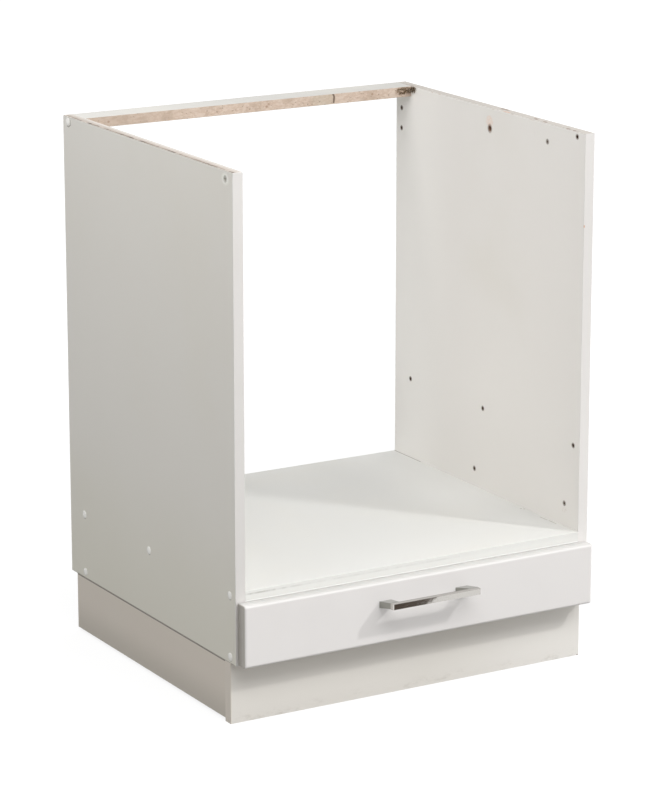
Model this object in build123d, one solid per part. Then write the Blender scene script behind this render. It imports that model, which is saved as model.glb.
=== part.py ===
from build123d import *
import os

os.makedirs("parts", exist_ok=True)

# An oven base unit: a carcass without back or worktop, a shallow drawer under the oven shelf and a
# separate plinth frame. Millimetres. +X is to the right seen from the front, +Y to the back, +Z up.
# The origin is on the floor under the middle of the overall box, handle included.

# Carcass
WIDTH = 600.0
BOARD = 16.0
PANEL_DEPTH = 525.0
PANEL_HEIGHT = 712.0
SHELF_TOP = 109.5
RAIL_DEPTH = 43.0
EDGE_BAND = 0.8
EDGE_BAND_ROUND = 0.3

# Connecting screws of the carcass, from the edges of the side panels
SCREW_FROM_FRONT = 17.0
SCREW_MIDDLE = 265.0
SCREW_FROM_REAR = 47.0
LOW_SCREW_HEIGHT = 9.5
RAIL_SCREW_FROM_REAR = 15.0
RAIL_DOWEL_FROM_FRONT = 11.0

# Holes in the side panels: from the front edge, below the top or above the shelf, and radii
SYSTEM_HOLE = 2.5
SYSTEM_HOLE_DEPTH = 11.0
SYSTEM_PITCH = 32.0
SECOND_SHELF_RISE = 130.0
PAIR_FROM_REAR = 15.5
PAIR_FROM_TOP = 38.3
TOP_HOLE_FROM_FRONT = 21.3
TOP_HOLE_DROP_LEFT = 12.4
TOP_HOLE_DROP_RIGHT = 7.3
FIXING_HOLE_LINE = 254.5
FIXING_HOLE_DROP = 31.5
FIXING_HOLE = 4.0
TACK_HOLE_LINE = 98.5
TACK_HOLE_DROP = 26.8
TACK_HOLE = 1.5
BRACKET_HOLE_LINE = 287.0
BRACKET_HOLE_RISE = 28.0
BRACKET_HOLE = 2.3
FRONT_HOLE_LINE = 37.5
FRONT_HOLE_RISE = 35.0
FRONT_HOLE = 1.8

# Plinth frame
PLINTH_HEIGHT = 92.0
PLINTH_SETBACK = 16.5
PLINTH_FROM_REAR = 18.5
PLINTH_SIDE_LIFT = 5.0
PLINTH_SIDE_GAP = 0.6
CORNER_BLOCK = 32.0
CORNER_BLOCK_HEIGHT = 42.0
BLOCK_SCREW_LENGTH = 24.0
BLOCK_SCREW_DROP = 20.0
BLOCK_SCREW_STAGGER = 8.0
BLOCK_SCREW_LINE = 13.0
BLOCK_SCREW_SEAT = 12.0
BLOCK_TOP_SCREW_LINE = 7.0
BLOCK_TOP_SCREW_LENGTH = 33.0
BLOCK_TOP_SCREW_SEAT = 20.0
BLOCK_NOSE = 6.0
BLOCK_ROUND = 1.8
BLOCK_POCKET = 3.8

# Drawer front and handle
FRONT_THICKNESS = 19.0
FRONT_HEIGHT = 93.0
FRONT_LIFT = 1.0
FRONT_SIDE_GAP = 3.0
FRONT_GAP = 1.5
FRONT_ROUND = 4.0
FRONT_CORNER = 2.0
PAD_RADIUS = 4.0
PAD_INSET = 11.0
PAD_ROUND = 0.6
HANDLE_LENGTH = 150.0
HANDLE_SPACING = 128.0
HANDLE_PROJECTION = 38.0
HANDLE_BAR_HEIGHT = 9.0
HANDLE_BAR_DEPTH = 8.0
HANDLE_FOOT_WIDTH = 20.0
HANDLE_FOOT_HEIGHT = 10.0
HANDLE_END_WIDTH = 14.6
HANDLE_RISE = 6.4
HANDLE_FOOT_ABOVE_FRONT = 59.6
HANDLE_EDGE = 0.9
HANDLE_CORNER = 2.2
HANDLE_INNER_ROUND = 3.0
HANDLE_BEND = 14.0

# Drawer box
DRAWER_LENGTH = 440.0
DRAWER_SIDE = 12.0
DRAWER_SIDE_HEIGHT = 55.0
DRAWER_BACK = 12.0
DRAWER_BOTTOM = 3.0
GROOVE_DEPTH = 5.0
GROOVE_HEIGHT = 8.0
SIDE_ROUND = 1.2
BACK_SCREW_LENGTH = 30.0
BACK_SCREW_PITCH = 22.0
BACK_SCREW_SUNK = 1.4

# Brackets behind the drawer front
BRACKET_SHEET = 1.5
BRACKET_LEG = 24.0
BRACKET_FOOT = 20.0
BRACKET_HEIGHT = 34.0
BRACKET_RISE = 14.0
BRACKET_SCREW_PITCH = 20.0
BRACKET_SCREW_LINE = 15.0
BRACKET_SCREW_FOOT_LINE = 12.0
BRACKET_SCREW_LENGTH = 11.0

# Runners, bent from sheet steel, and their rollers
RUNNER_SPACE = 12.5
RUNNER_LENGTH = 450.0
RUNNER_ABOVE_BOTTOM = 6.0
RUNNER_SHEET = 1.2
RUNNER_BEND = 0.5
RUNNER_SETBACK = 2.0
TRACK_WIDTH = 10.5
CHANNEL_HEIGHT = 20.8
CHANNEL_LIP = 9.0
RIDER_FLANGE = 9.5
RIDER_FOOT = 12.0
RIDER_FOOT_HEIGHT = 2.0
ROLLER_RADIUS = 10.0
ROLLER_WIDTH = 6.0
ROLLER_INSET = 16.0
ROLLER_DISH = 1.0
ROLLER_EDGE = 0.6
ROLLER_TYRE = 2.0
ROLLER_HUB = 4.6
PIN_RADIUS = 2.5
PIN_SHOULDER = 3.4
PIN_SHOULDER_HEIGHT = 0.4
PIN_HEAD = 3.8
PIN_HEAD_HEIGHT = 0.8
FLANGE_ABOVE_LIP = 2.6
STOP_RADIUS = 2.0
STOP_LENGTH = 7.5
LIP_CUT_CLEARANCE = 4.0
DRAWER_TRAVEL = 340.0
RUNNER_SCREW_PLACES = (63.0, 225.0, 405.0)
RIDER_SCREW_PLACES = (53.0, 220.0, 378.0)
RIDER_SETBACK = 0.5
RUNNER_SCREW_LENGTH = 13.0
RIDER_SCREW_LENGTH = 15.0
RIDER_SCREW_INSET = 4.4

# Clearances
ROLL_CLEARANCE = 0.3
PIN_CLEARANCE = 0.05
SIDE_CLEARANCE = 0.2
SCREW_CLEARANCE = 0.1
SCREW_END_CLEARANCE = 1.0
SCREW_APART = 1.4
GROOVE_CLEARANCE = 0.15
PAD_CLEARANCE = 0.3

# Fasteners
CONFIRMAT_LENGTH = 50.0
CONFIRMAT_HEAD = 5.0
CONFIRMAT_HEAD_HEIGHT = 1.4
CONFIRMAT_NECK = 3.5
CONFIRMAT_NECK_END = 14.0
CONFIRMAT_CORE = 2.5
CONFIRMAT_TIP = 4.0
CONFIRMAT_SUNK = 0.4
CONFIRMAT_SOCKET = 2.0
CONFIRMAT_SOCKET_DEPTH = 3.5
CAP_RADIUS = 6.0
CAP_HEIGHT = 1.1
CAP_SHOULDER = 0.85
CAP_ROUND = 1.2
CAP_RIM = 0.3
CAP_STEM = 1.7
CAP_STEM_LENGTH = 2.6
DOWEL_RADIUS = 4.0
DOWEL_LENGTH = 30.0
DOWEL_IN_PANEL = 10.0
DOWEL_CHAMFER = 0.9
WOOD_SCREW = 1.6
WOOD_SCREW_HEAD = 3.4
WOOD_SCREW_HEAD_HEIGHT = 1.2
WOOD_SCREW_TIP = 2.5
SCREW_POINT = 0.4
TACK = 0.8
TACK_LENGTH = 16.0
TACK_HEAD = 2.2
TACK_HEAD_HEIGHT = 0.6
TACK_SPACING = 182.0
HANDLE_SCREW = 2.0
HANDLE_SCREW_HEAD = 4.0
HANDLE_SCREW_HEAD_HEIGHT = 2.4
HANDLE_SCREW_REACH = 8.0
HANDLE_SCREW_SLOT = 1.0
HANDLE_SCREW_CROSS = 4.2

# Where the main planes lie
half = WIDTH / 2
inner = half - BOARD
overhang = FRONT_GAP + FRONT_THICKNESS + HANDLE_PROJECTION
panel_front = -(PANEL_DEPTH - overhang) / 2
panel_rear = panel_front + PANEL_DEPTH
panel_base = PLINTH_HEIGHT
panel_top = panel_base + PANEL_HEIGHT
bottom_top = panel_base + BOARD
shelf_top = panel_base + SHELF_TOP
shelf_middle = shelf_top - BOARD / 2
rail_middle = panel_top - BOARD / 2
front_back = panel_front - FRONT_GAP
front_face = front_back - FRONT_THICKNESS
front_base = panel_base + FRONT_LIFT
front_half = half - FRONT_SIDE_GAP
drawer_half = inner - RUNNER_SPACE
side_inner = drawer_half - DRAWER_SIDE
drawer_rear = front_back + DRAWER_LENGTH
runner_base = bottom_top + RUNNER_ABOVE_BOTTOM
drawer_base = runner_base + RIDER_FOOT_HEIGHT + RUNNER_SHEET
drawer_top = drawer_base + DRAWER_SIDE_HEIGHT
groove_base = drawer_base + GROOVE_HEIGHT
groove_height = DRAWER_BOTTOM + 2 * GROOVE_CLEARANCE
back_front = drawer_rear - DRAWER_BACK
back_base = groove_base + groove_height
bracket_base = drawer_base + BRACKET_RISE


def block(x, y, z):
    """A board between two limits along each axis."""
    spans = [sorted(limits) for limits in (x, y, z)]
    size = [high - low for low, high in spans]
    centre = [(high + low) / 2 for low, high in spans]
    return Pos(*centre) * Box(*size)


def turned(points):
    """A turned solid about local Z from (radius, height) points."""
    return revolve(Plane.XZ * make_face(Polyline(*points, close=True)), Axis.Z)


def placed(shape, point, direction):
    """Stands a shape, made along local Z, at a point along a direction."""
    return Plane(origin=point, z_dir=direction).location * shape


def drill(radius, depth):
    """The cutter of a plain hole that goes in along local Z."""
    return Pos(0, 0, depth / 2) * Cylinder(radius, depth)


def group(shapes):
    """Separate solids of one node."""
    return Compound([solid for shape in shapes for solid in shape.solids()])


def other_side(shape):
    """The mirror image on the right-hand side."""
    return mirror(shape, about=Plane.YZ)


def along_y(section, start, length):
    """Runs a section drawn in X and Z from start towards the back."""
    plane = Plane(origin=(0, start + length, 0), x_dir=(1, 0, 0), z_dir=(0, -1, 0))
    return extrude(plane * section, amount=length)


def bent_sheet(path, sheet, bend):
    """Section of a sheet folded along a path, its thickness laid to the left of the way."""
    points = [Vector(*point) for point in path]
    steps = [(b - a).normalized() for a, b in zip(points, points[1:])]
    normals = [Vector(-step.Y, step.X) for step in steps]
    offsets = [points[0] + normals[0] * sheet]
    for point, before, after in zip(points[1:], normals, normals[1:]):
        offsets.append(point + (before + after) * (sheet / (1 + before.dot(after))))
    offsets.append(points[-1] + normals[-1] * sheet)
    section = make_face(Polyline(*points, *reversed(offsets), close=True))
    for index in range(1, len(points) - 1):
        left_turn = steps[index - 1].cross(steps[index]).Z > 0
        inside, outside = (offsets, points) if left_turn else (points, offsets)
        for corners, radius in ((inside, bend), (outside, bend + sheet)):
            target = corners[index]
            corner = min(section.vertices(), key=lambda v: (Vector(*v) - target).length)
            section = fillet(corner, radius)
    return section


# Fasteners. Each is made along local Z, its head's outer face at zero and its tip at positive Z.


def confirmat(clearance=0.0):
    """Connecting screw with a sunk head, or with a clearance the hole for it."""
    head = CONFIRMAT_HEAD + clearance
    neck = CONFIRMAT_NECK + clearance
    core = CONFIRMAT_CORE + clearance
    cone_end = CONFIRMAT_HEAD_HEIGHT + CONFIRMAT_HEAD - CONFIRMAT_NECK
    step_end = CONFIRMAT_NECK_END + CONFIRMAT_NECK - CONFIRMAT_CORE
    end = CONFIRMAT_LENGTH + (SCREW_END_CLEARANCE if clearance else 0)
    start = 0 if clearance else CONFIRMAT_SUNK
    screw = turned(
        [
            (0, start),
            (head, start),
            (head, CONFIRMAT_HEAD_HEIGHT),
            (neck, cone_end),
            (neck, CONFIRMAT_NECK_END),
            (core, step_end),
            (core, end - CONFIRMAT_TIP),
            (SCREW_POINT, end),
            (0, end),
        ]
    )
    if clearance:
        return screw
    socket = extrude(RegularPolygon(CONFIRMAT_SOCKET, 6), amount=CONFIRMAT_SOCKET_DEPTH)
    return screw - Pos(0, 0, start) * socket


def screw_cap():
    """Low plastic cap with a rounded rim that lies on the panel, its stem in the screw's socket."""
    shoulder = (CAP_RADIUS - CAP_ROUND, -CAP_SHOULDER)
    slope = (CAP_RADIUS - CAP_ROUND, CAP_HEIGHT - CAP_SHOULDER)
    round_rim = TangentArc(shoulder, (CAP_RADIUS, -CAP_RIM), tangent=slope)
    under = [(CAP_RADIUS, -CAP_RIM), (CAP_RADIUS, 0), (CAP_STEM, 0), (CAP_STEM, CAP_STEM_LENGTH)]
    inside = Polyline(*under, (0, CAP_STEM_LENGTH), (0, -CAP_HEIGHT), shoulder)
    return revolve(Plane.XZ * make_face(round_rim + inside), Axis.Z)


def wood_screw(length, clearance=0.0):
    """Pan-head wood screw, its head standing before zero, or the hole for it."""
    shank = WOOD_SCREW + clearance
    end = length + (SCREW_END_CLEARANCE if clearance else 0)
    tip = [(shank, 0), (shank, end - WOOD_SCREW_TIP), (SCREW_POINT, end), (0, end)]
    if clearance:
        return turned([(0, 0), *tip])
    head = WOOD_SCREW_HEAD
    height = WOOD_SCREW_HEAD_HEIGHT
    dome = TangentArc((0, -height), (head, 0), tangent=(1, 0))
    under = Polyline((head, 0), *tip, (0, -height))
    return revolve(Plane.XZ * make_face(dome + under), Axis.Z)


def dowel():
    """Wooden dowel with chamfered ends, its middle at zero."""
    pin = Cylinder(DOWEL_RADIUS, DOWEL_LENGTH)
    return chamfer(pin.edges().filter_by(GeomType.CIRCLE), DOWEL_CHAMFER)


# Where the carcass is fastened: a point on the outer face and the way in, for one side.


def screw_lines():
    """Distances behind the panels' front edges of the three screws of a row."""
    return [SCREW_FROM_FRONT, SCREW_MIDDLE, PANEL_DEPTH - SCREW_FROM_REAR]


def carcass_screws(side):
    """Places of the connecting screws in the side panel at side -1 or 1."""
    low_z = panel_base + LOW_SCREW_HEIGHT
    front_line, middle_line, rear_line = [panel_front + line for line in screw_lines()]
    spots = [(line, shelf_middle) for line in (front_line, middle_line, rear_line)]
    spots += [(front_line, low_z), (rear_line, low_z)]
    spots.append((panel_rear - RAIL_SCREW_FROM_REAR, rail_middle))
    return [((side * half, y, z), (-side, 0, 0)) for y, z in spots]


def carcass_dowels(side):
    """Middles of the dowels: one in the bottom panel's middle, one beside the rail's screw."""
    x = side * (inner + DOWEL_IN_PANEL - DOWEL_LENGTH / 2)
    rail_y = panel_rear - RAIL_DEPTH + RAIL_DOWEL_FROM_FRONT
    return [(x, panel_front + SCREW_MIDDLE, panel_base + BOARD / 2), (x, rail_y, rail_middle)]


def bored(board, side):
    """Cuts the holes of the connecting screws and dowels of one side out of a board."""
    for point, way in carcass_screws(side):
        board -= placed(confirmat(SCREW_CLEARANCE), point, way)
    hole = Cylinder(DOWEL_RADIUS + SCREW_CLEARANCE, DOWEL_LENGTH + SCREW_END_CLEARANCE)
    for point in carcass_dowels(side):
        board -= placed(hole, point, (1, 0, 0))
    return board


# Holes drilled in the inner faces of the side panels


def inner_holes(side):
    """Blind holes of an inner face: distance behind the front edge, height, radius."""
    row_z = shelf_top + SECOND_SHELF_RISE
    holes = [(line, row_z, SYSTEM_HOLE) for line in screw_lines()]
    pair_z = panel_top - PAIR_FROM_TOP
    pair_line = PANEL_DEPTH - PAIR_FROM_REAR
    holes += [(pair_line, pair_z - step * SYSTEM_PITCH, SYSTEM_HOLE) for step in (0, 1)]
    if side > 0:
        holes.append((TOP_HOLE_FROM_FRONT, panel_top - TOP_HOLE_DROP_RIGHT, SYSTEM_HOLE))
        holes.append((FIXING_HOLE_LINE, panel_top - FIXING_HOLE_DROP, FIXING_HOLE))
        holes.append((TACK_HOLE_LINE, panel_top - TACK_HOLE_DROP, TACK_HOLE))
        holes.append((BRACKET_HOLE_LINE, shelf_top + BRACKET_HOLE_RISE, BRACKET_HOLE))
        holes.append((FRONT_HOLE_LINE, shelf_top + FRONT_HOLE_RISE, FRONT_HOLE))
    return holes


def runner_screw_lines():
    """Places along a cabinet runner of its three screws."""
    return [panel_front + RUNNER_SETBACK + place for place in RUNNER_SCREW_PLACES]


def channel_middle():
    """Height of the middle of the cabinet runner's channel."""
    return runner_base + RUNNER_SHEET + CHANNEL_HEIGHT / 2


def side_panel(side):
    """Side panel with its raw top edge and all its holes, without the front edge band."""
    x = (side * inner, side * half)
    panel = block(x, (panel_front + EDGE_BAND, panel_rear), (panel_base, panel_top))
    panel = bored(panel, side)
    for line, z, radius in inner_holes(side):
        point = (side * inner, panel_front + line, z)
        panel -= placed(drill(radius, SYSTEM_HOLE_DEPTH), point, (side, 0, 0))
    if side < 0:
        point = (-half, panel_front + TOP_HOLE_FROM_FRONT, panel_top - TOP_HOLE_DROP_LEFT)
        panel -= placed(drill(SYSTEM_HOLE, BOARD), point, (1, 0, 0))
    pilot = wood_screw(RUNNER_SCREW_LENGTH - RUNNER_SHEET, SCREW_CLEARANCE)
    for y in runner_screw_lines():
        panel -= placed(pilot, (side * inner, y, channel_middle()), (side, 0, 0))
    return panel


def cross_board(y, top):
    """A board between the side panels with its fastening holes at both ends."""
    board = block((-inner, inner), y, (top - BOARD, top))
    return bored(bored(board, -1), 1)


def edge_band(x, z):
    """Plastic band on a front edge, its outer corners eased."""
    band = block(x, (panel_front, panel_front + EDGE_BAND), z)
    front_edges = band.faces().sort_by(Axis.Y)[0].edges()
    return fillet(front_edges, EDGE_BAND_ROUND)


# Carcass

nodes = {}
for side, name in ((-1, "left"), (1, "right")):
    nodes[f"side_panel_{name}"] = side_panel(side)
    span = (side * inner, side * half)
    nodes[f"edge_band_{name}"] = edge_band(span, (panel_base, panel_top))
board_span = (panel_front + EDGE_BAND, panel_rear)
nodes["oven_shelf"] = cross_board(board_span, shelf_top)
nodes["shelf_edge_band"] = edge_band((-inner, inner), (shelf_top - BOARD, shelf_top))
bottom_panel = cross_board(board_span, bottom_top)
nodes["bottom_edge_band"] = edge_band((-inner, inner), (panel_base, bottom_top))
nodes["rear_top_rail"] = cross_board((panel_rear - RAIL_DEPTH, panel_rear), panel_top)

places = carcass_screws(-1) + carcass_screws(1)
nodes["connecting_screws"] = group(placed(confirmat(), *place) for place in places)
nodes["screw_caps"] = group(placed(screw_cap(), *place) for place in places)
middles = carcass_dowels(-1) + carcass_dowels(1)
nodes["dowels"] = group(placed(dowel(), middle, (1, 0, 0)) for middle in middles)

# Plinth: front and rear boards stand on the floor, the side boards between them hang clear of it

plinth_front = panel_front + PLINTH_SETBACK
plinth_rear = panel_rear - PLINTH_FROM_REAR


def corner_block():
    """Moulded corner block for the angle of two boards, its corner at the origin."""
    leg = CORNER_BLOCK
    nose = BLOCK_NOSE
    outline = Polyline((0, 0), (leg, 0), (leg, nose), (nose, leg), (0, leg), close=True)
    shape = extrude(make_face(outline), amount=CORNER_BLOCK_HEIGHT)
    return fillet(shape.edges().filter_by(Axis.Z).sort_by(Axis.X)[-2:], BLOCK_ROUND)


def block_screws(x, y, across, back):
    """Places of the block's three screws in the corner at x, y: sideways, back and up.

    At the rear the one that goes up stands clear of the low connecting screw.
    """
    line = BLOCK_SCREW_LINE
    seat = BLOCK_SCREW_SEAT
    top_line = BLOCK_TOP_SCREW_LINE
    rear_screw = panel_front + screw_lines()[-1]
    past_screw = rear_screw + CONFIRMAT_CORE + SCREW_APART + WOOD_SCREW
    top_y = y + top_line if back > 0 else past_screw
    high = panel_base - BLOCK_SCREW_DROP
    low = high - BLOCK_SCREW_STAGGER
    top_seat = panel_base - BLOCK_TOP_SCREW_SEAT
    return [
        ((x + across * seat, y + back * line, high), (-across, 0, 0), BLOCK_SCREW_LENGTH),
        ((x + across * line, y + back * seat, low), (0, -back, 0), BLOCK_SCREW_LENGTH),
        ((x + across * top_line, top_y, top_seat), (0, 0, 1), BLOCK_TOP_SCREW_LENGTH),
    ]


corners = []
for across in (-1, 1):
    corners.append((across * inner, plinth_front + BOARD, -across, 1))
    corners.append((across * inner, plinth_rear - BOARD, -across, -1))
block_fastenings = [spot for corner in corners for spot in block_screws(*corner)]


def screwed(board):
    """Cuts the corner blocks' screw holes out of a board."""
    for point, way, length in block_fastenings:
        board -= placed(wood_screw(length, SCREW_CLEARANCE), point, way)
    return board


def seated_block(x, y, across, back):
    """A corner block in its corner, with pockets so that the screw heads lie in it."""
    shape = corner_block()
    shape = mirror(shape, about=Plane.YZ) if across < 0 else shape
    shape = mirror(shape, about=Plane.XZ) if back < 0 else shape
    shape = Pos(x, y, panel_base - CORNER_BLOCK_HEIGHT) * shape
    for point, way, length in block_screws(x, y, across, back):
        pocket = Pos(0, 0, -CORNER_BLOCK / 2) * Cylinder(BLOCK_POCKET, CORNER_BLOCK)
        shape -= placed(pocket, point, way)
        shape -= placed(wood_screw(length, SCREW_CLEARANCE), point, way)
    return shape


plinth_boards = {
    "plinth_front": block((-half, half), (plinth_front, plinth_front + BOARD), (0, panel_base)),
    "plinth_rear": block((-inner, inner), (plinth_rear - BOARD, plinth_rear), (0, panel_base)),
}
side_span = (plinth_front + BOARD, plinth_rear)
side_heights = (PLINTH_SIDE_LIFT, panel_base - PLINTH_SIDE_GAP)
for side, name in ((-1, "left"), (1, "right")):
    plinth_boards[f"plinth_{name}"] = block((side * inner, side * half), side_span, side_heights)
for name, board in plinth_boards.items():
    nodes[name] = screwed(board)
nodes["bottom_panel"] = screwed(bottom_panel)
nodes["plinth_corner_blocks"] = group(seated_block(*corner) for corner in corners)
nodes["plinth_screws"] = group(
    placed(wood_screw(length), point, way) for point, way, length in block_fastenings
)

# Drawer front and handle

handle_z = front_base + HANDLE_FOOT_ABOVE_FRONT
handle_spots = [(side * HANDLE_SPACING / 2, front_back, handle_z) for side in (-1, 1)]


def handle():
    """Cast bow handle: two legs that taper and rise from their feet to a slim square bar."""
    reach = HANDLE_LENGTH / 2
    bar_back = HANDLE_PROJECTION - HANDLE_BAR_DEPTH
    foot = HANDLE_FOOT_HEIGHT / 2
    bar_top = HANDLE_RISE + HANDLE_BAR_HEIGHT / 2
    bar_base = HANDLE_RISE - HANDLE_BAR_HEIGHT / 2
    gap_half = [(reach - HANDLE_FOOT_WIDTH, 0), (reach - HANDLE_END_WIDTH, -bar_back)]
    gap = make_face(Polyline(*gap_half, *[(-x, y) for x, y in reversed(gap_half)], close=True))
    gap_corners = gap.vertices().sort_by(Axis.Y)[:2]
    plan = Rectangle(HANDLE_LENGTH, HANDLE_PROJECTION, align=(Align.CENTER, Align.MAX))
    plan -= fillet(gap_corners, HANDLE_INNER_ROUND)
    from_above = extrude(Plane.XY.offset(-foot) * plan, amount=foot + bar_top)
    back = [(0, -foot), (0, foot), (-bar_back, bar_top)]
    front = [(-HANDLE_PROJECTION, bar_top), (-HANDLE_PROJECTION, bar_base), (-bar_back, bar_base)]
    profile = make_face(Polyline(*back, *front, close=True))
    bends = profile.vertices().group_by(Axis.X)[1]
    profile = fillet(bends, HANDLE_BEND)
    from_the_side = extrude(Plane.YZ * profile, amount=reach, both=True)
    shape = from_above & from_the_side
    front_face_edges = shape.faces().sort_by(Axis.Y)[0].edges()
    shape = fillet(front_face_edges.filter_by(Axis.Z), HANDLE_CORNER)
    rim = [edge for edge in shape.faces().sort_by(Axis.Z)[-1].edges()]
    front_rim = [edge for edge in rim if edge.center().Y < HANDLE_CORNER - HANDLE_PROJECTION]
    shape = fillet(front_rim, HANDLE_EDGE)
    shape = Pos(0, front_face, handle_z) * shape
    thread_depth = FRONT_THICKNESS + HANDLE_SCREW_REACH + SCREW_END_CLEARANCE
    thread = drill(HANDLE_SCREW + SCREW_CLEARANCE, thread_depth)
    for spot in handle_spots:
        shape -= placed(thread, spot, (0, -1, 0))
    return shape


def handle_screw():
    """Machine screw with a pan head that lies behind the drawer front."""
    end = FRONT_THICKNESS + HANDLE_SCREW_REACH
    head = HANDLE_SCREW_HEAD
    height = HANDLE_SCREW_HEAD_HEIGHT
    dome = TangentArc((0, -height), (head, 0), tangent=(1, 0))
    shank = [(head, 0), (HANDLE_SCREW, 0), (HANDLE_SCREW, end - 1), (HANDLE_SCREW / 2, end)]
    screw = revolve(Plane.XZ * make_face(dome + Polyline(*shank, (0, end), (0, -height))), Axis.Z)
    cross = HANDLE_SCREW_CROSS
    slot = HANDLE_SCREW_SLOT
    return screw - Pos(0, 0, -height) * (Box(cross, slot, 2 * slot) + Box(slot, cross, 2 * slot))


# Brackets between the drawer sides and the front


def bracket_screws(side):
    """Places of a bracket's screws: two into the drawer side and two into the front."""
    middle = bracket_base + BRACKET_HEIGHT / 2
    x = side * (side_inner - BRACKET_SHEET)
    y = front_back + BRACKET_SHEET
    spots = []
    for step in (-0.5, 0.5):
        z = middle + step * BRACKET_SCREW_PITCH
        spots.append(((x, front_back + BRACKET_SCREW_LINE, z), (side, 0, 0)))
        spots.append(((side * (side_inner - BRACKET_SCREW_FOOT_LINE), y, z), (0, -1, 0)))
    return spots


def bracket():
    """Angle bracket in the left front corner of the drawer, bent from strip."""
    x = -side_inner
    path = [(x, front_back + BRACKET_LEG), (x, front_back), (x + BRACKET_FOOT, front_back)]
    section = bent_sheet(path, BRACKET_SHEET, BRACKET_SHEET)
    shape = Pos(0, 0, bracket_base) * extrude(section, amount=BRACKET_HEIGHT)
    for point, way in bracket_screws(-1):
        hole = Cylinder(WOOD_SCREW + SCREW_CLEARANCE, 4 * BRACKET_SHEET)
        shape -= placed(hole, point, way)
    return shape


def bracket_holes(board):
    """Cuts the bracket screws' pilot holes out of a board."""
    for side in (-1, 1):
        for point, way in bracket_screws(side):
            board -= placed(wood_screw(BRACKET_SCREW_LENGTH, SCREW_CLEARANCE), point, way)
    return board


def drawer_front():
    """Drawer front with soft rounded edges, groove for the drawer bottom and handle holes."""
    heights = (front_base, front_base + FRONT_HEIGHT)
    front = block((-front_half, front_half), (front_face, front_back), heights)
    front = fillet(front.edges().filter_by(Axis.Y), FRONT_CORNER)
    front = fillet(front.faces().sort_by(Axis.Y)[0].edges(), FRONT_ROUND)
    groove_half = side_inner + GROOVE_DEPTH
    groove_z = (groove_base, groove_base + groove_height)
    front -= block((-groove_half, groove_half), (front_back - GROOVE_DEPTH, front_back), groove_z)
    for spot in handle_spots:
        hole = drill(HANDLE_SCREW + SCREW_CLEARANCE, FRONT_THICKNESS)
        front -= placed(hole, spot, (0, -1, 0))
    return bracket_holes(front)


def pads():
    """Soft buffer pads behind the corners of the front, just clear of the panels' edges."""
    thickness = FRONT_GAP - PAD_CLEARANCE
    x = half - BOARD / 2
    heights = (front_base + PAD_INSET, front_base + FRONT_HEIGHT - PAD_INSET)
    pad = fillet(Cylinder(PAD_RADIUS, thickness).edges().sort_by(Axis.Z)[-1:], PAD_ROUND)
    spots = [(side * x, front_back + thickness / 2, z) for side in (-1, 1) for z in heights]
    return group(placed(pad, spot, (0, 1, 0)) for spot in spots)


# Drawer box


def back_screws(side):
    """Places of the screws through a drawer side into the back's end."""
    middle = (back_base + drawer_top) / 2
    y = drawer_rear - DRAWER_BACK / 2
    x = side * (drawer_half - BACK_SCREW_SUNK)
    return [((x, y, middle + step * BACK_SCREW_PITCH), (-side, 0, 0)) for step in (-0.5, 0.5)]


def rider_screws(side):
    """Places of the screws up through the drawer runner's foot into the drawer side."""
    x = side * (drawer_half - RIDER_SCREW_INSET)
    z = drawer_base - RUNNER_SHEET
    return [((x, front_back + place, z), (0, 0, 1)) for place in RIDER_SCREW_PLACES]


def drawer_side():
    """Left drawer side with the groove for the bottom and its fastening holes."""
    span = (front_back, drawer_rear)
    board = block((-drawer_half, -side_inner), span, (drawer_base, drawer_top))
    low_edges, top_edges = board.edges().filter_by(Axis.Y).group_by(Axis.Z)
    board = fillet(top_edges, SIDE_ROUND)
    board = chamfer(board.edges().filter_by(Axis.Y).group_by(Axis.Z)[0].sort_by(Axis.X)[0], RUNNER_BEND)
    groove = (-side_inner - GROOVE_DEPTH, -side_inner)
    board -= block(groove, span, (groove_base, groove_base + groove_height))
    for point, way in back_screws(-1):
        board -= placed(wood_screw(BACK_SCREW_LENGTH, SCREW_CLEARANCE), point, way)
        seat = Cylinder(WOOD_SCREW_HEAD + SCREW_CLEARANCE, 2 * BACK_SCREW_SUNK)
        board -= placed(Pos(0, 0, -BACK_SCREW_SUNK) * seat, point, way)
    for point, way in rider_screws(-1):
        board -= placed(wood_screw(RIDER_SCREW_LENGTH, SCREW_CLEARANCE), point, way)
    return bracket_holes(board)


def drawer_back():
    """Drawer back between the sides, over the drawer bottom."""
    board = block((-side_inner, side_inner), (back_front, drawer_rear), (back_base, drawer_top))
    for side in (-1, 1):
        for point, way in back_screws(side):
            board -= placed(wood_screw(BACK_SCREW_LENGTH, SCREW_CLEARANCE), point, way)
    for point in tack_spots():
        board -= placed(tack(SCREW_CLEARANCE), point, (0, 0, 1))
    return board


def tack_spots():
    """Places of the tacks that hold the drawer bottom to the back."""
    y = drawer_rear - DRAWER_BACK / 2
    return [(side * TACK_SPACING, y, groove_base + GROOVE_CLEARANCE) for side in (-1, 0, 1)]


def tack(clearance=0.0):
    """Flat-head tack driven up through the drawer bottom, or the hole for it."""
    shank = TACK + clearance
    if clearance:
        return drill(shank, TACK_LENGTH + SCREW_END_CLEARANCE)
    head = Pos(0, 0, -TACK_HEAD_HEIGHT / 2) * Cylinder(TACK_HEAD, TACK_HEAD_HEIGHT)
    return head + drill(shank, TACK_LENGTH)


def drawer_bottom():
    """Thin panel that lies in the grooves of sides and front, under the back."""
    reach = side_inner + GROOVE_DEPTH - GROOVE_CLEARANCE
    span = (front_back - GROOVE_DEPTH + GROOVE_CLEARANCE, drawer_rear)
    low = groove_base + GROOVE_CLEARANCE
    board = block((-reach, reach), span, (low, low + DRAWER_BOTTOM))
    for point in tack_spots():
        board -= placed(tack(SCREW_CLEARANCE), point, (0, 0, 1))
    return board


# Runners and rollers, made for the left side

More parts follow.
